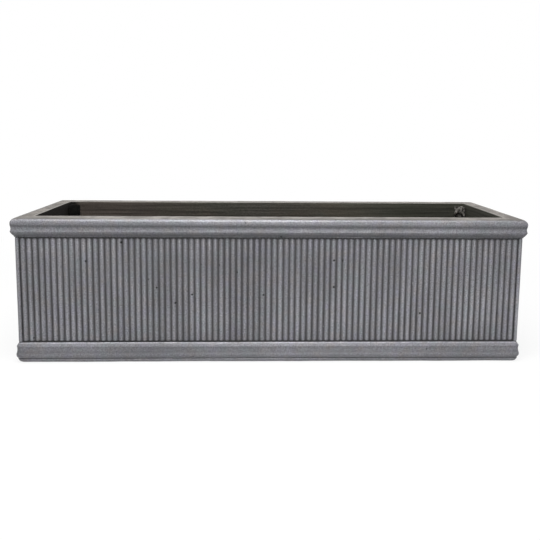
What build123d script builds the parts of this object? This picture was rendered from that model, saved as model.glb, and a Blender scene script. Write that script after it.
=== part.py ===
from build123d import *

import os
from math import atan, atan2, cos, pi, sin, sqrt

# Window box in fibre-reinforced light concrete with a faux lead face.
#
# The real box is laid up by hand, wall by wall, against a mould: a fine facing coat takes the reeds,
# the rim moulding and the plinth moulding, a glass-fibre mat is pressed in behind it, and a coarser
# backing coat finishes the inside. The four walls meet on mitres at the corners. The floor is laid
# between them in two coats with a mat in the middle, and mortar is packed into the inside corners.
# Two rubber plugs close the drain holes and pull up and out.
#
# Millimetres. +Z is up, -Y is the front, and the origin is the centre of the footprint.

# Outside of the box, over the rim
length = 600.0
depth = 170.0
height = 172.0

# Wall, from the crests of the reeds inwards
facing_thickness = 6.0
backing_thickness = 12.6
inner_arris_radius = 1.5

# Reeds. Each is a half round drawn with a few narrow flats, as there are more than two hundred
reed_pitch_aim = 6.92
reed_depth = 2.2
reed_end_slope = 2.4
corner_reed_width = 5.65
reed_flats = 8

# Rim moulding, from the top down: roll, hollow, flared upper side and under side of the bead, fine lip
rim_overhang = 3.8
rim_roll_radius = 6.2
rim_hollow_height = 3.6
rim_hollow_setback = 0.9
rim_hollow_sag = 0.15
rim_bead_height = 5.0
rim_bead_flare = 0.45
rim_under_height = 6.6
rim_under_bulge = 0.4
rim_lip_height = 1.1
rim_lip_projection = 0.6

# Plinth moulding, from the top down: ledge, hollow, bead and foot lip
plinth_ledge_height = 4.4
plinth_ledge_projection = 2.3
plinth_hollow_height = 7.4
plinth_hollow_sag = 0.4
plinth_bead_height = 7.7
plinth_bead_setback = 1.4
plinth_bead_bulge = 1.2
plinth_lip_height = 4.8
plinth_lip_projection = 1.6
plinth_foot_radius = 1.5

# Glass-fibre mats, let into the backing and the floor
mat_thickness = 0.8
mat_margin = 10.0

# Floor, in two coats
floor_base_coat_thickness = 9.0
floor_top_coat_thickness = 9.0

# Mortar packed into the inside corners
corner_fillet_radius = 14.0
corner_fillet_drop = 3.0
floor_fillet_radius = 9.0

# Drain holes and their rubber plugs
drain_hole_radius = 10.0
drain_hole_offset = 170.0
plug_clearance = 0.1
plug_lead_in_height = 5.0
plug_lead_in_relief = 0.9
plug_tip_gap = 2.0
plug_flange_radius = 14.0
plug_flange_thickness = 2.5
plug_tab_width = 14.0
plug_tab_thickness = 3.2
plug_tab_height = 6.5
plug_tab_corner_radius = 3.0

# Sizes that follow from the ones above
wall_thickness = facing_thickness + backing_thickness
rim_height = rim_roll_radius + rim_hollow_height + rim_bead_height + rim_under_height + rim_lip_height
plinth_height = plinth_ledge_height + plinth_hollow_height + plinth_bead_height + plinth_lip_height
body_length = length - 2 * rim_overhang
body_depth = depth - 2 * rim_overhang
inner_length = body_length - 2 * wall_thickness
inner_depth = body_depth - 2 * wall_thickness
floor_top = floor_base_coat_thickness + floor_top_coat_thickness
trim_reach = rim_overhang + plinth_ledge_projection


def mitred_block(run, outer, inner, bottom, top):
    """A straight length of wall with mitred ends. run is the wall's length on the plane of the reeds'
    crests, and outer and inner are how far the block reaches outwards and inwards from that plane."""
    plan = Polyline(
        (-run / 2 - outer, -outer),
        (run / 2 + outer, -outer),
        (run / 2 - inner, inner),
        (-run / 2 + inner, inner),
        close=True,
    )
    return Pos(0, 0, bottom) * extrude(make_face(plan), top - bottom)


def moulding(run, section, inner):
    """A section, drawn as (outwards, up) from the plane of the crests, run along the wall and mitred.
    inner is how far the section reaches inwards."""
    bar = extrude(Plane.YZ * make_face(section), run / 2 + trim_reach, both=True)
    return bar & mitred_block(run, trim_reach, inner, 0, height)


def point(outwards, up):
    """A point of a moulding's section. Outwards is -Y on the front wall, before it is turned."""
    return (-outwards, up)


def straight(start, end):
    """A flat of a moulding's section, between two points given as (outwards, up)."""
    return Line(point(*start), point(*end))


def curve(start, end, bulge):
    """A shallow round of a moulding's section, drawn from the top down. A positive bulge stands out
    from the straight line between its ends, and a negative one is a hollow."""
    return SagittaArc(point(*start), point(*end), -bulge)


def quarter_round(start, end, centre):
    """A quarter round of a moulding's section, from start to end about centre."""
    middle = [c + (a - c + b - c) / sqrt(2) for a, b, c in zip(start, end, centre)]
    return ThreePointArc(point(*start), point(*middle), point(*end))


def rim_section():
    """Quarter roll at the top edge, shallow hollow that flares out to the bead, and the lip that hides
    the reeds' upper ends."""
    roll_in = rim_overhang - rim_roll_radius
    roll_end = height - rim_roll_radius
    hollow_out = rim_overhang - rim_hollow_setback
    hollow_end = roll_end - rim_hollow_height
    crest = hollow_end - rim_bead_height
    under_end = crest - rim_under_height
    lip_end = under_end - rim_lip_height
    lip_out = rim_lip_projection
    inside = -facing_thickness
    return [
        quarter_round((roll_in, height), (rim_overhang, roll_end), (roll_in, roll_end)),
        curve((rim_overhang, roll_end), (hollow_out, hollow_end), -rim_hollow_sag),
        curve((hollow_out, hollow_end), (rim_overhang, crest), -rim_bead_flare),
        curve((rim_overhang, crest), (lip_out, under_end), rim_under_bulge),
        straight((lip_out, under_end), (lip_out, lip_end)),
        straight((lip_out, lip_end), (inside, lip_end)),
        straight((inside, lip_end), (inside, height)),
        straight((inside, height), (roll_in, height)),
    ]


def plinth_section():
    """Sloping ledge under the reeds, shallow hollow, bead, and the lip that the box stands on."""
    ledge_out = plinth_ledge_projection
    ledge_end = plinth_height - plinth_ledge_height
    hollow_end = ledge_end - plinth_hollow_height
    bead_in = ledge_out - plinth_bead_setback
    bead_end = hollow_end - plinth_bead_height
    lip_out = plinth_lip_projection
    foot_in = lip_out - plinth_foot_radius
    inside = -facing_thickness
    return [
        straight((0, plinth_height), (ledge_out, ledge_end)),
        curve((ledge_out, ledge_end), (ledge_out, hollow_end), -plinth_hollow_sag),
        curve((ledge_out, hollow_end), (bead_in, bead_end), plinth_bead_bulge),
        straight((bead_in, bead_end), (lip_out, bead_end - (lip_out - bead_in))),
        straight((lip_out, bead_end - (lip_out - bead_in)), (lip_out, plinth_foot_radius)),
        quarter_round((lip_out, plinth_foot_radius), (foot_in, 0), (foot_in, plinth_foot_radius)),
        straight((foot_in, 0), (inside, 0)),
        straight((inside, 0), (inside, plinth_height)),
        straight((inside, plinth_height), (0, plinth_height)),
    ]


def half_round(x, radius, first, last):
    """The flats of a reed's nose in plan. x is the reed's middle and the nose touches the plane of the
    crests. first and last are the turns at which it starts and ends, from -X to +X, 0 at its crest."""
    turns = [first + (last - first) * i / reed_flats for i in range(reed_flats + 1)]
    return [(x + radius * sin(turn), radius - radius * cos(turn)) for turn in turns]


def reed_band(run):
    """The reeded part of a wall's facing: round reeds side by side, with half of a corner reed at each
    end. The corner reed is a round bead that touches both walls' crest planes and both last grooves."""
    reed_count = round((run - 2 * corner_reed_width) / reed_pitch_aim)
    pitch = (run - 2 * corner_reed_width) / reed_count
    half_turn = 2 * atan(2 * reed_depth / pitch)
    radius = pitch / 2 / sin(half_turn)
    bead = corner_reed_width + reed_depth - sqrt(2 * corner_reed_width * reed_depth)
    groove_turn = atan2(corner_reed_width - bead, bead - reed_depth)
    first_groove = -run / 2 + corner_reed_width
    inside = facing_thickness
    outline = half_round(-run / 2 + bead, bead, -pi / 4, groove_turn)
    for i in range(reed_count):
        outline += half_round(first_groove + pitch * (i + 0.5), radius, -half_turn, half_turn)[1:]
    outline += half_round(run / 2 - bead, bead, -groove_turn, pi / 4)[1:]
    outline += [(run / 2 - inside, inside), (-run / 2 + inside, inside)]
    low = plinth_height
    high = height - rim_height
    reeds = Pos(0, 0, low) * extrude(make_face(Polyline(*outline, close=True)), high - low)
    return reeds & reed_end_trim(run, low, high)


def reed_end_trim(run, low, high):
    """What the reeds' ends are trimmed to: both ends slope back from the crests to the foot of the
    grooves, which rounds every reed's tip as it is seen from the front."""
    inside = -facing_thickness
    section = [
        straight((0, low + reed_end_slope), (0, high - reed_end_slope)),
        straight((0, high - reed_end_slope), (-reed_depth, high)),
        straight((-reed_depth, high), (inside, high)),
        straight((inside, high), (inside, low)),
        straight((inside, low), (-reed_depth, low)),
        straight((-reed_depth, low), (0, low + reed_end_slope)),
    ]
    return moulding(run, section, facing_thickness)


def facing(run):
    """One wall's facing coat: plinth moulding, reeds and rim moulding in one casting."""
    plinth = moulding(run, plinth_section(), facing_thickness)
    rim = moulding(run, rim_section(), facing_thickness)
    return plinth + reed_band(run) + rim


def mat_block(run):
    """The glass-fibre mat of one wall, and the rebate in the backing that it fills."""
    half = run / 2 - facing_thickness - mat_margin
    low = floor_top
    high = height - rim_height
    return Pos(0, facing_thickness + mat_thickness / 2, (low + high) / 2) * Box(
        2 * half, mat_thickness, high - low
    )


def backing(run):
    """One wall's backing coat, with its inner top arris eased and the rebate for the mat."""
    slab = mitred_block(run, 0, wall_thickness, 0, height)
    slab -= mitred_block(run, 0, facing_thickness, 0, height)
    top_inner = slab.faces().sort_by(Axis.Z)[-1].edges().sort_by(Axis.Y)[-1]
    return fillet(top_inner, inner_arris_radius) - mat_block(run)


def drain_holes(top):
    """Both drain holes as cylinders from below the floor up to top."""
    cylinder = Cylinder(drain_hole_radius, top, align=(Align.CENTER, Align.CENTER, Align.MIN))
    return [Pos(side * drain_hole_offset, 0, 0) * cylinder for side in (-1, 1)]


def floor_pieces():
    """Base coat, mat and top coat of the floor, all pierced by the drain holes."""
    low = (Align.CENTER, Align.CENTER, Align.MIN)
    base_coat = Box(inner_length, inner_depth, floor_base_coat_thickness, align=low)
    mat_at = Pos(0, 0, floor_base_coat_thickness - mat_thickness)
    mat = mat_at * Box(inner_length - 2 * mat_margin, inner_depth - 2 * mat_margin, mat_thickness, align=low)
    top_coat = Pos(0, 0, floor_base_coat_thickness) * Box(
        inner_length, inner_depth, floor_top_coat_thickness, align=low
    )
    holes = drain_holes(floor_top)
    return base_coat - mat - holes, mat - holes, top_coat - holes


def floor_fillet(run):
    """The cove of mortar along the foot of one wall's inside, mitred at the ends."""
    wall_face = -wall_thickness
    toe = wall_face - floor_fillet_radius
    top = floor_top + floor_fillet_radius
    section = [
        quarter_round((toe, floor_top), (wall_face, top), (toe, top)),
        straight((wall_face, top), (wall_face, floor_top)),
        straight((wall_face, floor_top), (toe, floor_top)),
    ]
    return moulding(run, section, wall_thickness + floor_fillet_radius)


def corner_cove(side_x, side_y):
    """The cove of mortar in one upright inside corner, from the floor up to just below the rim."""
    tall = height - corner_fillet_drop - floor_top
    low = (Align.CENTER, Align.CENTER, Align.MIN)
    reach = corner_fillet_radius
    packed = Pos(side_x * (inner_length - reach) / 2, side_y * (inner_depth - reach) / 2, floor_top)
    centre = Pos(side_x * (inner_length / 2 - reach), side_y * (inner_depth / 2 - reach), floor_top)
    return packed * Box(reach, reach, tall, align=low) - centre * Cylinder(reach, tall, align=low)


def plug():
    """A rubber drain plug: a stem that fills the hole, drawn in at its tip so that it finds the hole,
    a flange that lies on the floor, and a flat tab to pull it up by."""
    stem = drain_hole_radius - plug_clearance
    tip = stem - plug_lead_in_relief
    tip_top = plug_tip_gap + plug_lead_in_height
    flange_top = floor_top + plug_flange_thickness
    outline = [
        (0, plug_tip_gap),
        (tip, plug_tip_gap),
        (tip, tip_top),
        (stem, tip_top),
        (stem, floor_top),
        (plug_flange_radius, floor_top),
        (plug_flange_radius, flange_top),
        (0, flange_top),
    ]
    turned = revolve(Plane.XZ * make_face(Polyline(*outline, close=True)), Axis.Z)
    low = (Align.CENTER, Align.CENTER, Align.MIN)
    tab = Pos(0, 0, flange_top) * Box(plug_tab_width, plug_tab_thickness, plug_tab_height, align=low)
    top_corners = tab.edges().filter_by(Axis.Y).group_by(Axis.Z)[-1]
    return turned + fillet(top_corners, plug_tab_corner_radius)


def main():
    os.makedirs("parts", exist_ok=True)
    nodes = {}
    walls = {
        "front": (body_length, Pos(0, -body_depth / 2, 0)),
        "right": (body_depth, Pos(body_length / 2, 0, 0) * Rot(0, 0, 90)),
        "back": (body_length, Pos(0, body_depth / 2, 0) * Rot(0, 0, 180)),
        "left": (body_depth, Pos(-body_length / 2, 0, 0) * Rot(0, 0, -90)),
    }
    for name, (run, place) in walls.items():
        nodes[name + "_facing"] = place * facing(run)
        nodes[name + "_glass_mat"] = place * mat_block(run)
        nodes[name + "_backing"] = place * backing(run)
        nodes[name + "_floor_fillet"] = place * floor_fillet(run)

    base_coat, floor_mat, top_coat = floor_pieces()
    nodes["floor_base_coat"] = base_coat
    nodes["floor_glass_mat"] = floor_mat
    nodes["floor_top_coat"] = top_coat

    floor_fillets = [nodes[name + "_floor_fillet"] for name in walls]
    for side, side_y in (("front", -1), ("back", 1)):
        for end, side_x in (("left", -1), ("right", 1)):
            nodes[side + "_" + end + "_corner_fillet"] = corner_cove(side_x, side_y) - floor_fillets

    for name, side in (("left", -1), ("right", 1)):
        nodes[name + "_drain_plug"] = Pos(side * drain_hole_offset, 0, 0) * plug()

    for name, shape in nodes.items():
        export_step(shape, "parts/" + name + ".step")
    print("pieces:", len(nodes))


main()
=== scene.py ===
# %% [markdown]
# # Window box with a faux lead face
#
# The object is a cast trough: a fine grey facing coat with reeds, a rim moulding and a plinth
# moulding, and behind it a raw brown backing coat that forms the inside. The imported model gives
# every piece its place, in metres, with +Z up and -Y at the front. It comes in first, and its box
# is kept, because nothing that is added may grow out of it.

import math

import bmesh
import bpy
from mathutils import Matrix, Vector


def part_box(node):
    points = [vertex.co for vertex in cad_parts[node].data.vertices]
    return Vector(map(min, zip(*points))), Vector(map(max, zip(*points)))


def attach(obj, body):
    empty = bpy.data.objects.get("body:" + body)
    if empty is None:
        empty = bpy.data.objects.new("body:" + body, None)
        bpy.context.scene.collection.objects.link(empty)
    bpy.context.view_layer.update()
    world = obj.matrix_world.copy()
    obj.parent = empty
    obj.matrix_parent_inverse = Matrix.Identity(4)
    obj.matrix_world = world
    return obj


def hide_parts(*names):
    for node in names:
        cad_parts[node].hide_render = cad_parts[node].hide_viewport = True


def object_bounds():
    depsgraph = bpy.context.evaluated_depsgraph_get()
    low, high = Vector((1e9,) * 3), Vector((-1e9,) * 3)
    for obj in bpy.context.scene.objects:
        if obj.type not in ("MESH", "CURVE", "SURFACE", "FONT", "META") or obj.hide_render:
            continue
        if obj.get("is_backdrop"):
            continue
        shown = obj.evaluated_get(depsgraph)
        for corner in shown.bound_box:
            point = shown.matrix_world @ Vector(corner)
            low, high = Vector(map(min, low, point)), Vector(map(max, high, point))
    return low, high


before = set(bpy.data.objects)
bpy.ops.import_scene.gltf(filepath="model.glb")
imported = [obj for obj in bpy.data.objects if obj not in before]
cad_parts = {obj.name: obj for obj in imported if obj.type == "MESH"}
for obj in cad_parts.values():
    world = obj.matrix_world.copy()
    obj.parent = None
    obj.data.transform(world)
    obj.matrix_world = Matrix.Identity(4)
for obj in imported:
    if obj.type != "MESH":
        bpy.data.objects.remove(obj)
cad_low, cad_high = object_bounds()
print("packed model:", len(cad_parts), "nodes,", tuple(round(v, 4) for v in cad_high - cad_low), "m")

# %% [markdown]
# ## Sizes read from the model
#
# Everything on the box is measured from the plane of the reeds' crests, as a mould maker would do:
# a moulding is a list of points that say how far out and how high up they are, in millimetres. The
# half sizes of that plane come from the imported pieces, so that the looks can't drift off the model.

# %% Half sizes of the crest plane and of the inside
MM = 0.001
rim_overhang = 3.8 * MM
half_x = cad_high.x - rim_overhang
half_y = cad_high.y - rim_overhang
_, inner_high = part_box("floor_top_coat")
wall = half_x - inner_high.x
floor_top = inner_high.z
print("crest plane", round(half_x, 4), round(half_y, 4), "wall", round(wall, 4), "floor", floor_top)

# %% [markdown]
# ## Camera
#
# The photograph was taken from a little above the rim, almost square on, and the frame sits low in
# the lens's field, so the camera has a vertical shift. Place, turn and lens come from lining up the
# rim, the body, the plinth and the reeds with a pinhole camera.

# %% Camera
photo_pixels = 540
focal_pixels = 555.0
lens_axis_row = 188.1
sensor_width = 36
camera_at = (-0.02032, -0.71525, 0.27483)
pitch, yaw, roll = 0.10567, 0.02782, 0.00842
forward = Vector((math.sin(yaw) * math.cos(pitch), math.cos(yaw) * math.cos(pitch), -math.sin(pitch)))
level_right = Vector((math.cos(yaw), -math.sin(yaw), 0))
level_up = level_right.cross(forward)
right = level_right * math.cos(roll) + level_up * math.sin(roll)
up = level_up * math.cos(roll) - level_right * math.sin(roll)
lens = bpy.data.cameras.new("camera")
lens.sensor_width = sensor_width
lens.lens = focal_pixels / photo_pixels * sensor_width
lens.shift_y = (lens_axis_row - photo_pixels / 2) / photo_pixels
camera = bpy.data.objects.new("camera", lens)
bpy.context.scene.collection.objects.link(camera)
axes = [(right[i], up[i], -forward[i], camera_at[i]) for i in range(3)]
camera.matrix_world = Matrix(axes + [(0, 0, 0, 1)])
bpy.context.scene.camera = camera
print("lens", round(lens.lens, 2), "mm, shift", round(lens.shift_y, 4))

# %% [markdown]
# ## Modelling helpers
#
# An operator works on whatever is selected, so each step first picks its vertices by their place.
# A picker that takes a test is enough for the whole file: it clears the selection, selects what
# passes, and says how much that was. Modifiers are applied as soon as they are added, so every later
# step sees the real mesh.

# %% Helpers for selecting, modifying and finishing
def deselect_all():
    if bpy.context.mode != "OBJECT":
        bpy.ops.object.mode_set(mode="OBJECT")
    bpy.ops.object.select_all(action="DESELECT")


def edit(piece):
    """Opens one piece, and only that one, in edit mode."""
    deselect_all()
    piece.select_set(True)
    bpy.context.view_layer.objects.active = piece
    bpy.ops.object.mode_set(mode="EDIT")


def pick(piece, test, kind="VERT"):
    """Selects the vertices, edges or faces of which every corner passes the test."""
    bpy.ops.mesh.select_mode(type=kind)
    bpy.ops.mesh.select_all(action="DESELECT")
    mesh = bmesh.from_edit_mesh(piece.data)
    parts = {"VERT": mesh.verts, "EDGE": mesh.edges, "FACE": mesh.faces}[kind]
    count = 0
    for part in parts:
        corners = [part.co] if kind == "VERT" else [v.co for v in part.verts]
        if all(test(co) for co in corners):
            part.select_set(True)
            count += 1
    mesh.select_flush_mode()
    bmesh.update_edit_mesh(piece.data)
    return count


def modify(piece, kind, **settings):
    """Adds a modifier, gives it its settings and applies it."""
    bpy.context.view_layer.objects.active = piece
    bpy.ops.object.modifier_add(type=kind)
    added = piece.modifiers[-1]
    for name, value in settings.items():
        setattr(added, name, value)
    bpy.ops.object.modifier_apply(modifier=added.name)


def finish_edit(piece, name, smooth_angle=40):
    """Turns the normals outwards, names the piece, puts it on the origin and shades its rounds smooth."""
    bpy.ops.mesh.select_all(action="SELECT")
    bpy.ops.mesh.normals_make_consistent(inside=False)
    bpy.ops.object.mode_set(mode="OBJECT")
    piece.name = piece.data.name = name
    bpy.ops.object.transform_apply(location=True, rotation=True, scale=True)
    bpy.ops.object.shade_smooth_by_angle(angle=math.radians(smooth_angle))
    print(name, len(piece.data.vertices), "vertices", len(piece.data.polygons), "faces")
    return piece


# %% [markdown]
# ## The facing's ring of mouldings
#
# On the real box the facing is one skin cast all round, so its mouldings turn the corners without a
# joint. It could be four mitred bars, but then the mitres would show. Instead one rounded rectangle
# is drawn at the foot and extruded again and again, up the outside, over the rim and down the back,
# each time scaled to how far out the moulding stands there. The corners are drawn with a large
# radius and tightened at each step towards the sharp corner, so that the foot can be worn rounder
# than the rim.

# %% Sections, as (out, up) in millimetres
def arc(start, end, bulge, steps):
    """Points after start up to end on a shallow arc. A positive bulge stands outwards."""
    (o1, u1), (o2, u2) = start, end
    along = math.hypot(o2 - o1, u2 - u1)
    side = ((u2 - u1) / along, -(o2 - o1) / along)
    points = []
    for i in range(1, steps + 1):
        t = i / steps
        lift = 4 * bulge * t * (1 - t)
        points.append((o1 + (o2 - o1) * t + side[0] * lift, u1 + (u2 - u1) * t + side[1] * lift))
    return points


def quarter(centre, radius, first, last, steps):
    """Points on a quarter round, by angle in degrees from straight out."""
    turns = [math.radians(first + (last - first) * i / steps) for i in range(steps + 1)]
    return [(centre[0] + radius * math.cos(a), centre[1] + radius * math.sin(a)) for a in turns]


panel = -2.25
facing_back = -6.0
plinth_top = 24.3
panel_top = 149.5
panel_high = panel_top - plinth_top
panel_steps = 12
rim_top = 172.0
foot = [(facing_back, 0.0)] + quarter((0.1, 1.5), 1.5, -90, 0, 5) + [(1.6, 4.1), (0.9, 4.8)]
plinth = arc((0.9, 4.8), (2.3, 12.5), 1.2, 7) + arc((2.3, 12.5), (2.3, 19.9), -0.4, 6)
plinth += [(2.1, 20.4), (0.1, 23.9), (-0.3, plinth_top), (panel, plinth_top)]
body = [(panel, plinth_top + panel_high * i / panel_steps) for i in range(1, panel_steps + 1)]
lip = [(0.45, panel_top), (0.6, 149.7), (0.6, 150.6)]
rim = arc((0.6, 150.6), (3.5, 155.3), 0.3, 5) + arc((3.5, 155.3), (3.65, 156.9), 0.25, 3)
rim += arc((3.65, 156.9), (3.4, 162.2), -0.42, 6) + arc((3.4, 162.2), (3.8, 165.8), 0.1, 4)
rim += quarter((-2.4, 165.8), 6.2, 0, 90, 10)[1:]
back = [(facing_back, rim_top), (facing_back, 90.0), (facing_back, 0.0)]
print(len(foot + plinth + body + lip + rim + back), "points in the section")


# %% [markdown]
# The section is turned into a ring by hand, as it were: a plane of the right size gets round
# corners, its face is taken away, and its edges are cut short enough to be made uneven later. Then
# each extrusion is lifted to the next point's height and scaled to stand as far out as that point.

# %% Extrude a section round the box
corner_drawn = 15.0
corner_segments = 8
cuts_along_front = 95
cuts_along_end = 50
corner_reach = 1.15
seam_gap = 1e-4


def rounded_loop(out, height, radius):
    """The first loop, selected in edit mode. Returns the piece and how many vertices the loop has."""
    size_x = half_x + out * MM
    size_y = half_y + out * MM
    deselect_all()
    bpy.ops.mesh.primitive_plane_add(size=2, location=(0, 0, height * MM))
    piece = bpy.context.object
    piece.scale = (size_x, size_y, 1)
    bpy.ops.object.transform_apply(location=True, rotation=True, scale=True)
    bpy.ops.object.mode_set(mode="EDIT")
    bpy.ops.mesh.select_mode(type="VERT")
    bpy.ops.mesh.select_all(action="SELECT")
    bpy.ops.mesh.bevel(affect="VERTICES", offset=radius * MM, segments=corner_segments, offset_type="OFFSET")
    bpy.ops.mesh.select_all(action="SELECT")
    bpy.ops.mesh.delete(type="ONLY_FACE")
    pick(piece, lambda co: abs(abs(co.y) - size_y) < 1e-6, "EDGE")
    bpy.ops.mesh.subdivide(number_cuts=1)
    bpy.ops.mesh.subdivide(number_cuts=cuts_along_front)
    pick(piece, lambda co: abs(abs(co.x) - size_x) < 1e-6, "EDGE")
    bpy.ops.mesh.subdivide(number_cuts=cuts_along_end)
    bpy.ops.mesh.select_mode(type="VERT")
    bpy.ops.mesh.select_all(action="SELECT")
    return piece, len(bmesh.from_edit_mesh(piece.data).verts)


def pick_last(piece, count, test):
    """Selects the vertices of the newest loop that pass the test."""
    bpy.ops.mesh.select_mode(type="VERT")
    bpy.ops.mesh.select_all(action="DESELECT")
    mesh = bmesh.from_edit_mesh(piece.data)
    mesh.verts.ensure_lookup_table()
    for vertex in mesh.verts[-count:]:
        if test(vertex.co):
            vertex.select_set(True)
    mesh.select_flush(True)
    bmesh.update_edit_mesh(piece.data)


def round_corners(piece, count, out, height, before, after):
    """Scales the newest loop's round corners from one radius to another, towards their sharp corners."""
    size_x = half_x + out * MM
    size_y = half_y + out * MM
    near = before * MM * corner_reach + 1e-5
    scale = after / before
    for side_x, side_y in ((-1, -1), (1, -1), (1, 1), (-1, 1)):
        pick_last(piece, count, lambda co: side_x * co.x > size_x - near and side_y * co.y > size_y - near)
        corner = (side_x * size_x, side_y * size_y, height * MM)
        bpy.ops.transform.resize(value=(scale, scale, 1), center_override=corner)
    pick_last(piece, count, lambda co: True)


def extrude_section(section):
    """Runs a section, a list of (out, up, corner radius), round the box and closes it on itself."""
    out, height, radius = section[0]
    piece, count = rounded_loop(out, height, corner_drawn)
    round_corners(piece, count, out, height, corner_drawn, radius)
    for next_out, next_height, next_radius in section[1:]:
        lift = (0, 0, (next_height - height) * MM)
        bpy.ops.mesh.extrude_edges_move(TRANSFORM_OT_translate={"value": lift})
        wider = (half_x + next_out * MM) / (half_x + out * MM)
        deeper = (half_y + next_out * MM) / (half_y + out * MM)
        bpy.ops.transform.resize(value=(wider, deeper, 1), center_override=(0, 0, 0))
        if next_radius != radius:
            round_corners(piece, count, next_out, next_height, radius, next_radius)
        out, height, radius = next_out, next_height, next_radius
    bpy.ops.mesh.select_all(action="SELECT")
    bpy.ops.mesh.remove_doubles(threshold=seam_gap)
    return piece


# %% [markdown]
# The foot is worn rounder than the rest at its corners, the plinth is a little rounder than the
# rim, and the reeded panel is nearly sharp, because a round bead stands in front of its corner.

# %% The facing's ring
ledge_height = 24.2
foot_height = 5.0


def corner_radius(out, height):
    """The plan radius of the corner, by where the point lies on the section, all in millimetres."""
    if out < facing_back + 0.1:
        return 1.0
    if height < foot_height:
        return 9.0 - height
    if height < ledge_height:
        return 4.2
    return 2.2 if out > -2 else 1.2


points = foot + plinth + body + lip + rim + back
face_ring = extrude_section([(out, height, corner_radius(out, height)) for out, height in points])
finish_edit(face_ring, "faux_lead_face")

# %% [markdown]
# ## Reeds
#
# Each reed is a half round with a domed tip at both ends. It could be a bump in the material, but
# the reeds are what one sees of this box, and their tips and the dark grooves need real shape. One
# is modelled from a sphere that is pulled apart into a capsule and cut off behind the groove, with a
# few rings along it, and an array repeats it along the wall.

# %% One reed
reed_depth = 2.2 * MM
reed_low = 24.45 * MM
reed_high = 149.35 * MM
reed_pitch_aim = 6.92 * MM
corner_width = 5.65 * MM
behind_groove = 0.3 * MM
sphere_segments = 16
sphere_rings = 7
rings_along_reed = 4


def capsule(x, y, radius, low, high):
    """An upright capsule in edit mode, made of a sphere whose halves are pulled apart."""
    deselect_all()
    middle = (low + high) / 2
    widest = radius / math.cos(math.pi / (2 * sphere_rings))
    bpy.ops.mesh.primitive_uv_sphere_add(
        segments=sphere_segments, ring_count=sphere_rings, radius=widest, location=(x, y, middle)
    )
    piece = bpy.context.object
    bpy.ops.object.transform_apply(location=True, rotation=True, scale=True)
    bpy.ops.object.mode_set(mode="EDIT")
    pull = (high - low) / 2 - radius
    pick(piece, lambda co: co.z > middle)
    bpy.ops.transform.translate(value=(0, 0, pull))
    pick(piece, lambda co: co.z < middle)
    bpy.ops.transform.translate(value=(0, 0, -pull))
    for i in range(1, rings_along_reed + 1):
        bpy.ops.mesh.select_all(action="SELECT")
        height = low + radius + (high - low - 2 * radius) * i / (rings_along_reed + 1)
        bpy.ops.mesh.bisect(plane_co=(x, y, height), plane_no=(0, 0, 1))
    return piece


def reed_row(name, run, outward):
    """All reeds of one wall. outward is the wall's direction, and run its length at the crests."""
    across = Vector((-outward.y, outward.x, 0))
    count = round((run - 2 * corner_width) / reed_pitch_aim)
    pitch = (run - 2 * corner_width) / count
    radius = (pitch**2 / 4 + reed_depth**2) / (2 * reed_depth)
    depth = half_y if abs(outward.y) > 0.5 else half_x
    first = outward * (depth - radius) - across * (run / 2 - corner_width - pitch / 2)
    hidden = radius - math.sqrt(radius**2 - (radius - reed_depth) ** 2)
    piece = capsule(first.x, first.y, radius, reed_low - hidden, reed_high + hidden)
    bpy.ops.mesh.select_all(action="SELECT")
    cut = outward * (depth - reed_depth - behind_groove)
    bpy.ops.mesh.bisect(plane_co=cut, plane_no=-outward, use_fill=True, clear_outer=True)
    finish_edit(piece, name)
    one_apart = {"use_relative_offset": False, "use_constant_offset": True}
    modify(piece, "ARRAY", count=count, **one_apart, constant_offset_displace=across * pitch)
    print(name, count, "reeds", round(pitch / MM, 3), "mm apart")
    return piece


rows = [
    reed_row("reeds_front", 2 * half_x, Vector((0, -1, 0))),
    reed_row("reeds_back", 2 * half_x, Vector((0, 1, 0))),
    reed_row("reeds_left", 2 * half_y, Vector((-1, 0, 0))),
    reed_row("reeds_right", 2 * half_y, Vector((1, 0, 0))),
]

# %% [markdown]
# A round bead stands at each upright corner and touches the crest planes of both walls. Then the
# rows, the beads and the ring become one piece, as they are one casting.

# %% Corner beads, and one casting of it all
bead = corner_width + reed_depth - math.sqrt(2 * corner_width * reed_depth)
for side_x in (-1, 1):
    for side_y in (-1, 1):
        at_x = side_x * (half_x - bead)
        at_y = side_y * (half_y - bead)
        post = capsule(at_x, at_y, bead, reed_low - bead / 2, reed_high + bead / 2)
        rows.append(finish_edit(post, "corner_bead"))
deselect_all()
for piece in rows + [face_ring]:
    piece.select_set(True)
bpy.context.view_layer.objects.active = face_ring
bpy.ops.object.join()
print("casting:", len(face_ring.data.polygons), "faces")


# %% [markdown]
# ## Hand-made unevenness
#
# A laid-up casting is never straight to a tenth of a millimetre: highlights along the roll swell and
# thin out, and the foot stands on a few high places. Three displacements with soft clouds do that:
# slow and short waves all over the cast side, and one that lifts the foot's edge here and there. They
# only press inwards or upwards, so that the casting stays inside the model's box.

# %% Displace the casting
def uneven(piece, name, size, depth, direction="NORMAL", group=""):
    """Presses a piece in by clouds of a given size. Along the normal it never presses outwards."""
    clouds = bpy.data.textures.new(name, type="CLOUDS")
    clouds.noise_scale = size
    clouds.noise_depth = 2
    modify(
        piece,
        "DISPLACE",
        texture=clouds,
        texture_coords="LOCAL",
        direction=direction,
        mid_level=1.1 if direction == "NORMAL" else 0.0,
        strength=depth,
        vertex_group=group,
    )


def group_of(piece, name, test):
    """Gathers the vertices that pass the test in a vertex group."""
    edit(piece)
    count = pick(piece, test)
    bpy.ops.object.vertex_group_add()
    piece.vertex_groups.active.name = name
    bpy.context.scene.tool_settings.vertex_group_weight = 1.0
    bpy.ops.object.vertex_group_assign()
    bpy.ops.object.mode_set(mode="OBJECT")
    print(name, count, "vertices")


def stands_out(co):
    """How far a point stands out from the crest plane. Behind the plane it is negative."""
    return max(abs(co.x) - half_x, abs(co.y) - half_y)


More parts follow.
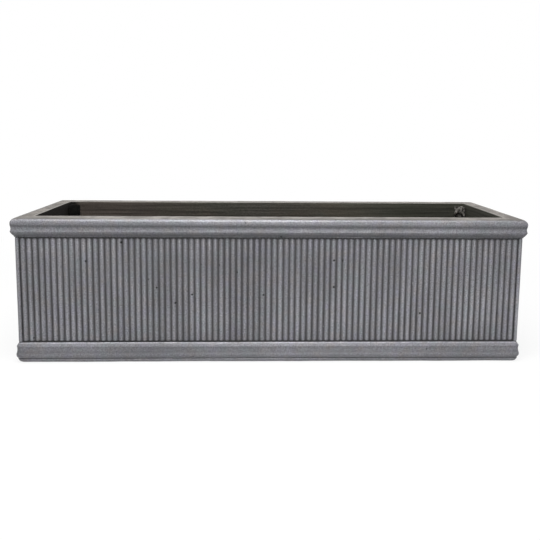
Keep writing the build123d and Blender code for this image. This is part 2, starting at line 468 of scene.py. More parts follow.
group_of(face_ring, "cast_side", lambda co: stands_out(co) > -4 * MM)
group_of(face_ring, "foot_edge", lambda co: co.z < 2.2 * MM)
uneven(face_ring, "slow_waves", size=0.045, depth=0.45 * MM, group="cast_side")
uneven(face_ring, "short_waves", size=0.008, depth=0.2 * MM, group="cast_side")
uneven(face_ring, "foot_waves", size=0.06, depth=1.1 * MM, direction="Z", group="foot_edge")

# %% [markdown]
# ## The backing
#
# Behind the facing lies the coarse coat that carries it. It is another ring, from the facing inwards,
# with its top edge eased by the trowel. Its inside is pressed in by more, because nothing formed it
# but the hand.

# %% The backing's ring
thick = wall / MM
eased = 1.8
loop_step = 3.5
outside = [(facing_back, 0.0), (facing_back, 90.0), (facing_back, rim_top)]
eased_edge = quarter((eased - thick, rim_top - eased), eased, 90, 180, 6)
inside = [(-thick, rim_top - eased - loop_step * i) for i in range(1, 8)]
inside += [(-thick, 140.0), (-thick, 80.0), (-thick, 0.0)]
backing = outside + [(-10.0, rim_top), (-14.0, rim_top)] + eased_edge + inside + [outside[0]]
raw_wall = extrude_section([(out, height, 1.0) for out, height in backing])
finish_edit(raw_wall, "raw_backing")
group_of(raw_wall, "trowelled", lambda co: stands_out(co) < -8 * MM)
uneven(raw_wall, "trowel_waves", size=0.03, depth=0.6 * MM, group="trowelled")

# %% [markdown]
# ## Mortar in the inside corners
#
# Mortar is pushed into the corners with a gloved thumb, so it is a hollow round that was never quite
# even. Along the floor it could be four bars, but it is one ring like the mouldings. Each upright
# corner is a block with a round bar taken out of it, remeshed so that it has skin enough to be dented.

# %% Along the floor
cove = 9.0
ledge = floor_top / MM
round_hollow = [(-thick - cove + x, ledge + cove - z) for x, z in quarter((0, 0), cove, 90, 0, 6)]
section = [(-thick, ledge)] + round_hollow + [(-thick, ledge)]
floor_mortar = extrude_section([(out, height, 1.0) for out, height in section])
finish_edit(floor_mortar, "floor_mortar")
group_of(floor_mortar, "thumbed", lambda co: stands_out(co) < -20 * MM)
uneven(floor_mortar, "thumb_waves", size=0.02, depth=1.2 * MM, group="thumbed")


# %% In the upright corners
thin_edge = 0.6 * MM
voxel = 1.6 * MM
dent = 1.6 * MM
cutter_height = 0.4


def block(size, at):
    deselect_all()
    bpy.ops.mesh.primitive_cube_add(size=1, location=at)
    piece = bpy.context.object
    piece.scale = size
    bpy.ops.object.transform_apply(location=True, rotation=True, scale=True)
    return piece


def cylinder(radius, height, at, sides=48):
    deselect_all()
    bpy.ops.mesh.primitive_cylinder_add(vertices=sides, radius=radius, depth=height, location=at)
    bpy.ops.object.transform_apply(location=True, rotation=True, scale=True)
    return bpy.context.object


def cut_away(piece, tool, how="DIFFERENCE"):
    modify(piece, "BOOLEAN", object=tool, operation=how, solver="EXACT")
    bpy.data.objects.remove(tool)


def corner_mortar(name, side_x, side_y, smears):
    """One upright cove, with lumps of mortar given as (x, y, z, sizes) where it was smeared on."""
    low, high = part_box(name)
    middle = (low + high) / 2
    reach = high.x - low.x
    centre = (middle.x - side_x * reach / 2, middle.y - side_y * reach / 2)
    piece = block((reach, reach, high.z - low.z), middle)
    cut_away(piece, cylinder(reach - thin_edge, cutter_height, (*centre, middle.z)))
    for x, y, z, sizes in smears:
        deselect_all()
        bpy.ops.mesh.primitive_ico_sphere_add(subdivisions=3, radius=1, location=(x, y, z))
        lump = bpy.context.object
        lump.scale = sizes
        bpy.ops.object.transform_apply(location=True, rotation=True, scale=True)
        cut_away(piece, lump, "UNION")
    modify(piece, "REMESH", mode="VOXEL", voxel_size=voxel)
    modify(piece, "SMOOTH", factor=0.6, iterations=3)
    uneven(piece, "dents_" + name, size=0.012, depth=dent)
    edit(piece)
    return finish_edit(piece, name.replace("fillet", "mortar"), 60)


inner_x, inner_y = inner_high.x, inner_high.y
smear = [
    (inner_x - 0.0060, inner_y - 0.0052, 0.1625, (0.0036, 0.0036, 0.0056)),
    (inner_x - 0.0120, inner_y - 0.0022, 0.1572, (0.0034, 0.0026, 0.0024)),
]
corner_mortars = {}
for side, side_y in (("front", -1), ("back", 1)):
    for end, side_x in (("left", -1), ("right", 1)):
        name = side + "_" + end + "_corner_fillet"
        lumps = smear if name == "back_right_corner_fillet" else []
        corner_mortars[name] = corner_mortar(name, side_x, side_y, lumps)

# %% [markdown]
# ## The floor's top coat
#
# The floor is poured and drawn flat with a trowel, which leaves shallow waves. It could stay the
# model's flat slab, but a flat floor catches the light as a pane of glass would. It is a slab whose
# top is divided, holed for the drains and pressed in a little. The drain holes come from the plugs.

# %% Floor slab
hole_radius = 10.0 * MM
left_flat = 15 * MM
low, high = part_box("floor_top_coat")
slab = block(high - low, (low + high) / 2)
edit(slab)
pick(slab, lambda co: co.z > high.z - 1e-5, "FACE")
bpy.ops.mesh.subdivide(number_cuts=70)
finish_edit(slab, "floor_screed")
for name in ("left_drain_plug", "right_drain_plug"):
    plug_low, plug_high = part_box(name)
    centre = (plug_low + plug_high) / 2
    cut_away(slab, cylinder(hole_radius, 0.05, (centre.x, centre.y, floor_top), 64))


def trowelled_floor(co):
    """The floor's top, but for a flat place round each drain hole, where the plug's flange lies."""
    beside_holes = abs(abs(co.x) - abs(centre.x)) > left_flat or abs(co.y - centre.y) > left_flat
    return co.z > high.z - 1e-5 and beside_holes


group_of(slab, "trowelled_floor", trowelled_floor)
uneven(slab, "floor_waves", size=0.05, depth=0.7 * MM, group="trowelled_floor")
deselect_all()
slab.select_set(True)
bpy.ops.object.shade_smooth_by_angle(angle=math.radians(40))

# %% [markdown]
# ## Drain plugs
#
# A rubber plug is moulded, so all its edges are eased: a stem with a drawn-in tip, a flange that lies
# on the floor and a flat tab to pull at. It is turned as on a lathe, from a disc that is extruded and
# scaled ring by ring, and the tab is a bevelled block that is merged with it. The second is a copy.

# %% One plug, and its copy
def turned(rings, at, sides=48):
    """A turned piece from rings given as (radius, height) in millimetres, closed at both ends."""
    radius, height = rings[0]
    deselect_all()
    bpy.ops.mesh.primitive_circle_add(
        vertices=sides, radius=radius * MM, fill_type="NGON", location=(at.x, at.y, height * MM)
    )
    piece = bpy.context.object
    bpy.ops.object.transform_apply(location=True, rotation=True, scale=True)
    bpy.ops.object.mode_set(mode="EDIT")
    bpy.ops.mesh.select_all(action="SELECT")
    for next_radius, next_height in rings[1:]:
        lift = (0, 0, (next_height - height) * MM)
        bpy.ops.mesh.extrude_region_move(TRANSFORM_OT_translate={"value": lift})
        scale = next_radius / radius
        middle = (at.x, at.y, next_height * MM)
        bpy.ops.transform.resize(value=(scale, scale, 1), center_override=middle)
        radius, height = next_radius, next_height
    bpy.ops.mesh.select_all(action="SELECT")
    bpy.ops.mesh.normals_make_consistent(inside=False)
    bpy.ops.object.mode_set(mode="OBJECT")
    return piece


low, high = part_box("left_drain_plug")
centre = (low + high) / 2
plug_rings = [(7.0, 2.0), (8.3, 2.15), (9.0, 2.9), (9.1, 6.9), (9.7, 7.6), (9.9, 8.2), (9.9, 18.0)]
plug_rings += [(13.2, 18.02), (13.85, 18.3), (14.0, 19.0), (13.85, 19.9), (13.3, 20.35), (12.0, 20.5)]
plug_rings += [(10.5, 20.45), (9.6, 20.25), (3.0, 20.25)]
left_plug = turned(plug_rings, centre)
tab_wide, tab_thick, tab_high, tab_top = 14, 3.2, 7.5, 27.0
tab_sizes = (tab_wide * MM, tab_thick * MM, tab_high * MM)
tab = block(tab_sizes, (centre.x, centre.y, (tab_top - tab_high / 2) * MM))
near_top, near_end = (tab_top - 0.5) * MM, (tab_wide / 2 - 0.5) * MM
edit(tab)
pick(tab, lambda co: co.z > near_top and abs(co.x - centre.x) > near_end, "EDGE")
bpy.ops.mesh.bevel(offset=3.0 * MM, segments=6)
bpy.ops.object.mode_set(mode="OBJECT")
modify(tab, "BEVEL", width=0.6 * MM, segments=3, limit_method="ANGLE", angle_limit=math.radians(40))
cut_away(left_plug, tab, "UNION")
edit(left_plug)
finish_edit(left_plug, "left_plug")
right_plug = left_plug.copy()
right_plug.data = left_plug.data.copy()
bpy.context.scene.collection.objects.link(right_plug)
edit(right_plug)
bpy.ops.mesh.select_all(action="SELECT")
bpy.ops.transform.translate(value=(-2 * centre.x, 0, 0))
finish_edit(right_plug, "right_plug")

# %% [markdown]
# ## Finishes
#
# The face is one paint-like grey cast right through, so its colour comes from slow clouds of a
# bluer, a browner and a greener grey over fine sand. Light and shade are painted in where it stands
# out or lies back: the reeds' crests get a painted highlight, the grooves are painted dark with shade
# and some dirt, small air holes are painted dark for the shade inside them, and pale specks are
# painted glints. How far a point stands out from the crest plane says both, and it comes from the
# place on the object, so it is one node group that the materials share.

# %% Node helpers
def group(name, inputs, outputs):
    """A new shared effect, with its inputs' and its outputs' ends."""
    tree = bpy.data.node_groups.new(name, "ShaderNodeTree")
    for label, kind, value in inputs:
        socket = tree.interface.new_socket(label, in_out="INPUT", socket_type=kind)
        socket.default_value = value
    for label, kind in outputs:
        tree.interface.new_socket(label, in_out="OUTPUT", socket_type=kind)
    return tree, tree.nodes.new("NodeGroupInput"), tree.nodes.new("NodeGroupOutput")


def node(tree, kind, settings=None, **values):
    """A shader node. A value is a number or a link, for the input of that name or, as _0, of that place."""
    made = tree.nodes.new("ShaderNode" + kind)
    for name, value in (settings or {}).items():
        setattr(made, name, value)
    for name, value in values.items():
        key = int(name[1:]) if name[0] == "_" and name[1:].isdigit() else name.replace("_", " ")
        if isinstance(value, bpy.types.NodeSocket):
            tree.links.new(value, made.inputs[key])
        else:
            made.inputs[key].default_value = value
    return made


def maths(tree, operation, first, second=0.0, clamp=False):
    return node(tree, "Math", {"operation": operation, "use_clamp": clamp}, _0=first, _1=second).outputs[0]


def fade(tree, value, start, end, to_start=0.0, to_end=1.0):
    """Goes softly from one value to another while the input goes from start to end."""
    made = node(tree, "MapRange", {"interpolation_type": "SMOOTHSTEP"}, _0=value, _1=start, _2=end)
    made.inputs[3].default_value = to_start
    made.inputs[4].default_value = to_end
    return made.outputs[0]


def place(tree, scale=(1, 1, 1)):
    """The place on the object, in metres, stretched by a scale."""
    where = node(tree, "TexCoord").outputs["Object"]
    return node(tree, "Mapping", Vector=where, Scale=scale).outputs[0]


def noise(tree, where, scale, detail=2.0, roughness=0.5):
    return node(tree, "TexNoise", Vector=where, Scale=scale, Detail=detail, Roughness=roughness)


def blend(tree, how, amount, first, second):
    made = node(tree, "Mix", {"data_type": "RGBA", "blend_type": how}, _0=amount)
    for key, value in ((6, first), (7, second)):
        if isinstance(value, bpy.types.NodeSocket):
            tree.links.new(value, made.inputs[key])
        else:
            made.inputs[key].default_value = value
    return made.outputs[2]


def grey(tree, value):
    return node(tree, "CombineColor", _0=value, _1=value, _2=value).outputs[0]


def shaded(tree, colour, factor):
    """A colour made darker or brighter by a factor."""
    return blend(tree, "MULTIPLY", 1.0, colour, grey(tree, factor))


# %% How far a point stands out from the crest plane, and how high it is, in millimetres
stand_out, _, ends = group("stand_out", [], [("Out", "NodeSocketFloat"), ("Height", "NodeSocketFloat")])
xyz = node(stand_out, "SeparateXYZ", Vector=node(stand_out, "TexCoord").outputs["Object"])
beyond_x = maths(stand_out, "SUBTRACT", maths(stand_out, "ABSOLUTE", xyz.outputs[0]), half_x)
beyond_y = maths(stand_out, "SUBTRACT", maths(stand_out, "ABSOLUTE", xyz.outputs[1]), half_y)
beyond = maths(stand_out, "MAXIMUM", beyond_x, beyond_y)
stand_out.links.new(maths(stand_out, "MULTIPLY", beyond, 1 / MM), ends.inputs["Out"])
stand_out.links.new(maths(stand_out, "MULTIPLY", xyz.outputs[2], 1 / MM), ends.inputs["Height"])
print("group", stand_out.name)

# %% Air holes: a few dark pits, each in its own cell
holes, start, ends = group(
    "air_holes",
    [
        ("Cells per metre", "NodeSocketFloat", 90.0),
        ("Share", "NodeSocketFloat", 0.2),
        ("Radius", "NodeSocketFloat", 0.07),
    ],
    [("Mask", "NodeSocketFloat"), ("Height", "NodeSocketFloat")],
)
cells = node(
    holes,
    "TexVoronoi",
    Vector=node(holes, "TexCoord").outputs["Object"],
    Scale=start.outputs["Cells per metre"],
    Randomness=1.0,
)
chance = node(holes, "SeparateColor", Color=cells.outputs["Color"])
chosen = maths(holes, "LESS_THAN", chance.outputs[0], start.outputs["Share"])
size = maths(holes, "MULTIPLY", start.outputs["Radius"], maths(holes, "ADD", chance.outputs[2], 0.5))
from_middle = maths(holes, "DIVIDE", cells.outputs["Distance"], size)
inside_hole = maths(holes, "SUBTRACT", 1.0, from_middle, clamp=True)
mask = maths(holes, "MULTIPLY", fade(holes, inside_hole, 0.0, 0.25), chosen)
holes.links.new(mask, ends.inputs["Mask"])
holes.links.new(maths(holes, "SUBTRACT", 1.0, mask), ends.inputs["Height"])
print("group", holes.name)

# %% Clouded colour: four tones drifting into each other, over fine sand
clouded, start, ends = group(
    "clouded_colour",
    [
        ("Tone", "NodeSocketColor", (0.18, 0.18, 0.19, 1)),
        ("Cool", "NodeSocketColor", (0.17, 0.18, 0.21, 1)),
        ("Warm", "NodeSocketColor", (0.17, 0.16, 0.15, 1)),
        ("Green", "NodeSocketColor", (0.16, 0.17, 0.16, 1)),
        ("Drift", "NodeSocketFloat", 0.7),
        ("Size", "NodeSocketFloat", 22.0),
        ("Sand", "NodeSocketFloat", 900.0),
        ("Sand amount", "NodeSocketFloat", 0.25),
    ],
    [("Color", "NodeSocketColor"), ("Sand", "NodeSocketFloat")],
)
where = node(clouded, "TexCoord").outputs["Object"]
drift = noise(clouded, where, start.outputs["Size"], 4.0, 0.6)
drift_parts = node(clouded, "SeparateColor", Color=drift.outputs["Color"])
tone = start.outputs["Tone"]
for channel, drifted in enumerate(("Cool", "Warm", "Green")):
    spread = fade(clouded, drift_parts.outputs[channel], 0.45, 0.68)
    amount = maths(clouded, "MULTIPLY", spread, start.outputs["Drift"])
    tone = blend(clouded, "MIX", amount, tone, start.outputs[drifted])
sand = noise(clouded, where, start.outputs["Sand"], 3.0, 0.65).outputs[0]
grain = fade(clouded, sand, 0.25, 0.75, 0.0, 1.0)
speckled = shaded(clouded, tone, grain)
doubled = blend(clouded, "ADD", 1.0, speckled, speckled)
toned = blend(clouded, "MIX", start.outputs["Sand amount"], tone, doubled)
clouded.links.new(toned, ends.inputs["Color"])
clouded.links.new(sand, ends.inputs["Sand"])
print("group", clouded.name)


# %% A fresh material and its shader
def finish(name):
    """A new material with nothing but its shader and its output."""
    material = bpy.data.materials.new(name)
    material.use_nodes = True
    tree = material.node_tree
    tree.nodes.clear()
    shader = tree.nodes.new("ShaderNodeBsdfPrincipled")
    output = tree.nodes.new("ShaderNodeOutputMaterial")
    tree.links.new(shader.outputs[0], output.inputs[0])
    return material, tree, shader


def use(tree, shared, **values):
    """A shared effect put to use in a material, with values for its inputs by name."""
    made = tree.nodes.new("ShaderNodeGroup")
    made.node_tree = shared
    for name, value in values.items():
        key = name.replace("_", " ")
        if isinstance(value, bpy.types.NodeSocket):
            tree.links.new(value, made.inputs[key])
        else:
            made.inputs[key].default_value = value
    return made


def raise_by(tree, height, distance, strength=1.0, under=None):
    """A normal that shows a height as relief, on top of the relief under it."""
    made = node(tree, "Bump", Height=height, Distance=distance, Strength=strength)
    if under is not None:
        tree.links.new(under, made.inputs["Normal"])
    return made.outputs[0]


# %% Rubbed top: the mottled taupe that the facing and the backing share along the rim's flat
dark_taupe = (0.120, 0.112, 0.104, 1)
pale_taupe = (0.205, 0.192, 0.178, 1)
arris_taupe = (0.25, 0.24, 0.225, 1)
crease_shade_brown = (0.055, 0.052, 0.048, 1)
rubbed_top, _, ends = group("rubbed_top", [], [("Color", "NodeSocketColor"), ("Mask", "NodeSocketFloat")])
level = use(rubbed_top, stand_out)
surface = node(rubbed_top, "NewGeometry").outputs["Normal"]
facing_up = node(rubbed_top, "SeparateXYZ", Vector=surface).outputs[2]
near_top = fade(rubbed_top, level.outputs["Height"], 169.8, 171.4)
mask = maths(rubbed_top, "MULTIPLY", fade(rubbed_top, facing_up, 0.72, 0.95), near_top)
where = node(rubbed_top, "TexCoord").outputs["Object"]
patches = noise(rubbed_top, where, 55.0, 5.0, 0.65).outputs[0]
tone = blend(rubbed_top, "MIX", fade(rubbed_top, patches, 0.36, 0.64), dark_taupe, pale_taupe)
arris = fade(rubbed_top, level.outputs["Out"], -15.5, -17.2)
tone = blend(rubbed_top, "MIX", maths(rubbed_top, "MULTIPLY", arris, 0.7), tone, arris_taupe)
long_way = node(rubbed_top, "Mapping", Vector=where, Scale=(8, 8, 1)).outputs[0]
streaks = fade(rubbed_top, noise(rubbed_top, long_way, 1.0, 2.0).outputs[0], 0.35, 0.6)
# Painted shade: a streaky dark line in the crease where the flat top turns into the roll.
outer = fade(rubbed_top, level.outputs["Out"], -5.2, -2.6)
crease_shade = maths(rubbed_top, "MULTIPLY", outer, streaks)
tone = blend(rubbed_top, "MIX", maths(rubbed_top, "MULTIPLY", crease_shade, 0.7), tone, crease_shade_brown)
rubbed_top.links.new(tone, ends.inputs["Color"])
rubbed_top.links.new(mask, ends.inputs["Mask"])
print("group", rubbed_top.name)

# %% Faux lead
# Near black for the painted shade and dirt in the grooves.
groove_shade_and_dirt = (0.030, 0.029, 0.030, 1)
pit_shade_black = (0.003, 0.003, 0.003, 1)
glint_grey = (0.42, 0.42, 0.43, 1)
faux_lead, tree, shader = finish("faux_lead")
level = use(tree, stand_out)
colour = use(
    tree,
    clouded,
    Tone=(0.163, 0.162, 0.176, 1),
    Cool=(0.161, 0.157, 0.191, 1),
    Warm=(0.171, 0.158, 0.156, 1),
    Green=(0.148, 0.163, 0.171, 1),
    Size=70.0,
    Sand=720.0,
    Sand_amount=0.42,
    Drift=0.6,
)
broad = noise(tree, place(tree), 9.0, 2.0).outputs[0]
shade = fade(tree, broad, 0.3, 0.7, 0.88, 1.12)
drawn_down = noise(tree, place(tree, (170, 170, 9)), 1.0, 3.0, 0.6).outputs[0]
streak = fade(tree, drawn_down, 0.3, 0.7, 0.84, 1.16)
toned = shaded(tree, colour.outputs["Color"], maths(tree, "MULTIPLY", shade, streak))
# Painted highlight along the reeds' crests, brightest low down, with the flanks painted a little darker.
crest_highlight = fade(tree, level.outputs["Height"], 40.0, 140.0, 1.62, 1.20)
crest = fade(tree, level.outputs["Out"], -1.3, -0.1)
toned = blend(tree, "MIX", crest, shaded(tree, toned, 0.86), shaded(tree, toned, crest_highlight))
on_mouldings = fade(tree, level.outputs["Out"], 0.05, 0.3)
toned = blend(tree, "MIX", on_mouldings, toned, shaded(tree, colour.outputs["Color"], shade))
# Painted shade: darker under the rim's bead just above the reeds, and along the rim's hollow, the plinth's
# crease and the foot's crease.
below_bead = fade(tree, level.outputs["Height"], 155.4, 152.5)
above_reeds = fade(tree, level.outputs["Height"], 148.4, 149.4)
painted_shade = maths(tree, "MULTIPLY", maths(tree, "MULTIPLY", below_bead, above_reeds), 0.36)
for crease, reach, amount in ((162.8, 2.6, 0.36), (12.8, 3.0, 0.30), (5.0, 1.4, 0.5)):
    away = maths(tree, "ABSOLUTE", maths(tree, "SUBTRACT", level.outputs["Height"], crease))
    painted_shade = maths(tree, "MAXIMUM", painted_shade, fade(tree, away, 0.0, reach, amount, 0.0))
toned = shaded(tree, toned, maths(tree, "SUBTRACT", 1.0, painted_shade))
# Painted shade with some dirt: the grooves between the reeds are drawn nearly black.
groove = fade(tree, level.outputs["Out"], -2.15, -1.2, 1.0, 0.0)
shaded_grooves = blend(tree, "MIX", maths(tree, "MULTIPLY", groove, 0.85), toned, groove_shade_and_dirt)
# Painted shade: each air hole is drawn near black for the shade inside it, and its bump dents it.
pits = use(tree, holes, Cells_per_metre=97.0, Share=0.17, Radius=0.105)
pit_shaded = blend(tree, "MIX", pits.outputs["Mask"], shaded_grooves, pit_shade_black)
# Painted highlights: small pale specks, glints such as the rims of pits catch.
glint_spots = use(tree, holes, Cells_per_metre=210.0, Share=0.14, Radius=0.09)
glint = maths(tree, "MULTIPLY", glint_spots.outputs["Mask"], 0.6)
glinted = blend(tree, "MIX", glint, pit_shaded, glint_grey)
top_tone = use(tree, rubbed_top)
rubbed = blend(tree, "MIX", top_tone.outputs["Mask"], glinted, top_tone.outputs["Color"])
tree.links.new(rubbed, shader.inputs["Base Color"])
patchy = noise(tree, place(tree), 60.0, 3.0).outputs[0]
gloss = fade(tree, patchy, 0.3, 0.7, 0.34, 0.50)
rough = maths(tree, "MAXIMUM", gloss, maths(tree, "MULTIPLY", top_tone.outputs["Mask"], 0.9))
tree.links.new(rough, shader.inputs["Roughness"])
shader.inputs["Metallic"].default_value = 0.25
relief = raise_by(tree, colour.outputs["Sand"], 0.0002, 0.22)
tree.links.new(raise_by(tree, pits.outputs["Height"], 0.0006, 0.8, relief), shader.inputs["Normal"])
print("finish", faux_lead.name)

# %% Raw backing: brown at the left, olive and duller to the right, with painted shade lower down and on the left end wall
warm_brown = (0.058, 0.043, 0.036, 1)
olive = (0.054, 0.056, 0.043, 1)
raw_coat, tree, shader = finish("raw_coat")
level = use(tree, stand_out)
colour = use(
    tree,
    clouded,
    Tone=(0.050, 0.047, 0.041, 1),
    Cool=(0.044, 0.045, 0.042, 1),
    Warm=(0.062, 0.046, 0.038, 1),
    Green=(0.046, 0.048, 0.036, 1),
    Size=9.0,
    Sand_amount=0.4,
    Drift=0.8,
)
along = node(tree, "SeparateXYZ", Vector=node(tree, "TexCoord").outputs["Object"]).outputs[0]
browner = fade(tree, along, -0.05, -0.22, 0.0, 0.5)
toned = blend(tree, "MIX", browner, colour.outputs["Color"], warm_brown)
greener = fade(tree, along, -0.04, 0.14, 0.0, 0.6)
toned = blend(tree, "MIX", greener, toned, olive)
duller = fade(tree, along, 0.10, 0.26, 1.0, 0.66)
brushed = noise(tree, place(tree, (10, 10, 420)), 1.0, 4.0, 0.6).outputs[0]
stroke = maths(tree, "MULTIPLY", fade(tree, brushed, 0.3, 0.7, 0.7, 1.35), duller)
# Painted shade: the inside is drawn darker lower down.
depth_shade = fade(tree, level.outputs["Height"], 148.0, 156.0, 0.75, 1.0)
# Painted shade: the left end wall is drawn almost black.
end_wall_shade = fade(tree, along, -0.2735, -0.262, 0.12, 1.0)
stroke = maths(tree, "MULTIPLY", stroke, maths(tree, "MULTIPLY", depth_shade, end_wall_shade))
streaked = shaded(tree, toned, stroke)
top_tone = use(tree, rubbed_top)
rubbed = blend(tree, "MIX", top_tone.outputs["Mask"], streaked, top_tone.outputs["Color"])
tree.links.new(rubbed, shader.inputs["Base Color"])
shader.inputs["Roughness"].default_value = 0.9
shader.inputs["Specular IOR Level"].default_value = 0.1
relief = raise_by(tree, colour.outputs["Sand"], 0.0005, 0.7)
tree.links.new(raise_by(tree, brushed, 0.0004, 0.5, relief), shader.inputs["Normal"])
print("finish", raw_coat.name)

# %% Mortar, rubber and glass mat
fresh_mortar = (0.175, 0.166, 0.152, 1)
between_strands = (0.25, 0.24, 0.22, 1)
strand_white = (0.62, 0.63, 0.60, 1)
mortar, tree, shader = finish("corner_mortar")
colour = use(
    tree,
    clouded,
    Tone=(0.040, 0.036, 0.032, 1),
    Cool=(0.032, 0.032, 0.030, 1),
    Warm=(0.055, 0.047, 0.040, 1),
    Green=(0.036, 0.037, 0.030, 1),
    Size=40.0,
    Sand_amount=0.6,
)
level = use(tree, stand_out)
spot = node(tree, "SeparateXYZ", Vector=node(tree, "TexCoord").outputs["Object"])
at_right = fade(tree, spot.outputs[0], inner_x - 0.0155, inner_x - 0.0120)
at_back = fade(tree, spot.outputs[1], inner_y - 0.013, inner_y - 0.008)
high_up = fade(tree, level.outputs["Height"], 151.0, 154.5)
fresh = maths(tree, "MULTIPLY", maths(tree, "MULTIPLY", at_right, at_back), high_up)
pale_spots = noise(tree, place(tree), 260.0, 3.0, 0.6).outputs[0]
fresh = maths(tree, "MULTIPLY", fresh, fade(tree, pale_spots, 0.42, 0.60))
# Painted shade: the mortar is drawn darker lower down.
depth_shade = fade(tree, level.outputs["Height"], 152.0, 160.0, 0.3, 1.0)
# Painted shade: the mortar gets darker towards the left end.
left_mortar_shade = fade(tree, spot.outputs[0], -0.2, 0.0, 0.12, 0.8)
depth_shaded = shaded(tree, shaded(tree, colour.outputs["Color"], depth_shade), left_mortar_shade)
tree.links.new(blend(tree, "MIX", fresh, depth_shaded, fresh_mortar), shader.inputs["Base Color"])
shader.inputs["Roughness"].default_value = 0.9
shader.inputs["Specular IOR Level"].default_value = 0.1
tree.links.new(raise_by(tree, colour.outputs["Sand"], 0.0008, 0.8), shader.inputs["Normal"])

rubber, tree, shader = finish("plug_rubber")
colour = use(
    tree,
    clouded,
    Tone=(0.020, 0.020, 0.021, 1),
    Cool=(0.016, 0.016, 0.018, 1),
    Warm=(0.038, 0.035, 0.032, 1),
    Green=(0.024, 0.024, 0.022, 1),
    Size=70.0,
    Sand_amount=0.2,
)
tree.links.new(colour.outputs["Color"], shader.inputs["Base Color"])
tree.links.new(fade(tree, colour.outputs["Sand"], 0.3, 0.7, 0.55, 0.75), shader.inputs["Roughness"])
tree.links.new(raise_by(tree, colour.outputs["Sand"], 0.0001, 0.4), shader.inputs["Normal"])

glass_mat, tree, shader = finish("glass_fibre_mat")
strands = []
for direction in ("X", "Z"):
    bands = {"wave_type": "BANDS", "bands_direction": direction}
    strand = node(tree, "TexWave", bands, Vector=place(tree), Scale=220.0, Distortion=1.5)
    strands.append(strand.outputs["Fac"])
weave = maths(tree, "MAXIMUM", *strands)
woven = blend(tree, "MIX", weave, between_strands, strand_white)
tree.links.new(woven, shader.inputs["Base Color"])
shader.inputs["Roughness"].default_value = 0.7
tree.links.new(raise_by(tree, weave, 0.0003, 0.6), shader.inputs["Normal"])
print("finishes", [m.name for m in bpy.data.materials if m.use_nodes])

# %% Give the pieces their finishes
walls = ("front", "right", "back", "left")
dressed = [
    (face_ring, faux_lead, "box", "faux_lead_facing", [w + "_facing" for w in walls]),
    (raw_wall, raw_coat, "box", "backing_concrete", [w + "_backing" for w in walls]),
    (floor_mortar, mortar, "box", "mortar", [w + "_floor_fillet" for w in walls]),
    (slab, raw_coat, "box", "backing_concrete", ["floor_top_coat"]),
    (left_plug, rubber, "left_drain_plug", "rubber", ["left_drain_plug"]),
    (right_plug, rubber, "right_drain_plug", "rubber", ["right_drain_plug"]),
]
dressed += [(piece, mortar, "box", "mortar", [name]) for name, piece in corner_mortars.items()]
for piece, finish_for, body, slot, nodes in dressed:
    piece.data.materials.clear()
    piece.data.materials.append(finish_for)
    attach(piece, body)
    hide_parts(*nodes)
for name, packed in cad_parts.items():
    packed.data.materials.clear()
    packed.data.materials.append(glass_mat if "mat" in name else raw_coat)
print(len(dressed), "pieces dressed")

# %% [markdown]
# ## Floor, light and background
#
# The photograph is cut out on white. The floor and the world show white to the camera and in gloss,
# and stay a plain grey for everything else, so that they neither tint nor flood the object. Lamps
# overhead draw the bright line along the roll, one above the front and one low in front light the
# bead and the crests of the reeds, and one behind keeps the back wall at the same level.

# %% Floor
def seen_directly(tree):
    """1 for rays that show a surface to the camera, in gloss or through glass, 0 for its light."""
    rays = node(tree, "LightPath").outputs
    mirrored = maths(tree, "MAXIMUM", rays["Is Glossy Ray"], rays["Is Transmission Ray"])
    return maths(tree, "MAXIMUM", rays["Is Camera Ray"], mirrored)


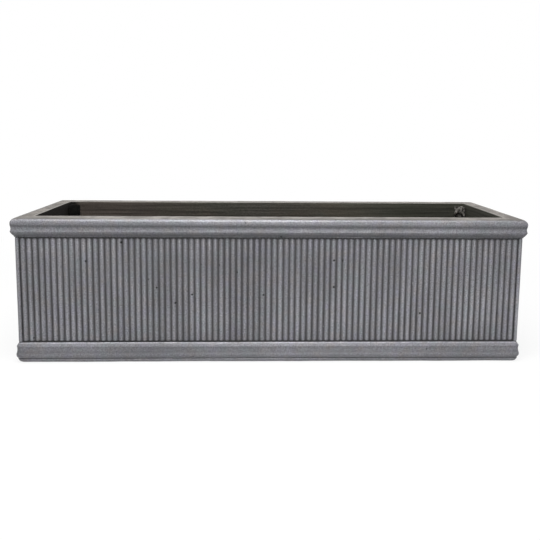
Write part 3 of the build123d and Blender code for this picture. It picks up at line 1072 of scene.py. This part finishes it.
deselect_all()
bpy.ops.mesh.primitive_plane_add(size=12, location=(0, 0, 0))
floor = bpy.context.object
floor.name = "studio_floor"
floor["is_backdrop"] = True
pale = bpy.data.materials.new("pale_floor")
pale.use_nodes = True
tree = pale.node_tree
tree.nodes.clear()
seen = seen_directly(tree)
plain = node(tree, "BsdfDiffuse", Color=(0.5, 0.5, 0.5, 1)).outputs[0]
lit = node(tree, "BsdfDiffuse", Color=(0.8, 0.8, 0.8, 1)).outputs[0]
glow = node(tree, "Emission", Color=(1, 1, 1, 1), Strength=1.0).outputs[0]
away = node(tree, "VectorMath", {"operation": "LENGTH"}, _0=place(tree)).outputs["Value"]
white = node(tree, "MixShader", _0=fade(tree, away, 0.3, 0.9, 0.86, 1.0), _1=lit, _2=glow).outputs[0]
shown = node(tree, "MixShader", _0=seen, _1=plain, _2=white).outputs[0]
tree.links.new(shown, tree.nodes.new("ShaderNodeOutputMaterial").inputs[0])
floor.data.materials.append(pale)
print("floor", floor.name, "with", pale.name)

# %% World
world = bpy.data.worlds.new("studio")
bpy.context.scene.world = world
world.use_nodes = True
tree = world.node_tree
tree.nodes.clear()
seen = seen_directly(tree)
dim = node(tree, "Background", Color=(1, 1, 1, 1), Strength=0.17).outputs[0]
white = node(tree, "Background", Color=(1, 1, 1, 1), Strength=1.0).outputs[0]
shown = node(tree, "MixShader", _0=seen, _1=dim, _2=white).outputs[0]
tree.links.new(shown, tree.nodes.new("ShaderNodeOutputWorld").inputs[0])
print("world", world.name)


# %% Lamps
def lamp(name, at, aim, width, height, watts):
    light = bpy.data.lights.new(name, "AREA")
    light.shape = "RECTANGLE"
    light.size = width
    light.size_y = height
    light.energy = watts
    made = bpy.data.objects.new(name, light)
    made.location = at
    made.rotation_euler = (Vector(aim) - Vector(at)).to_track_quat("-Z", "Y").to_euler()
    bpy.context.scene.collection.objects.link(made)
    return made


lamp("overhead_wide", (0.0, -0.20, 0.95), (0.0, -0.05, 0.1), 1.25, 0.3, 4.8)
lamp("overhead_middle", (0.0, -0.25, 0.95), (0.0, -0.05, 0.1), 0.4, 0.3, 2.8)
lamp("in_front_above", (-0.16, -0.52, 0.95), (-0.08, -0.05, 0.1), 0.8, 0.25, 6.6)
lamp("behind", (0.0, 1.1, 0.8), (0, 0.05, 0.1), 1.0, 0.4, 9.0)
lamp("in_front", (0.15, -1.3, 0.35), (0.05, 0, 0.08), 0.8, 0.4, 4.0)

# %% [markdown]
# ## Hand over
#
# Both boxes are written down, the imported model's and the dressed one's, so that they can be compared.

# %% Finish
bpy.context.scene.view_settings.view_transform = "Standard"
low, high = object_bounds()
print("dressed box", [round(v, 4) for v in (*low, *high)])
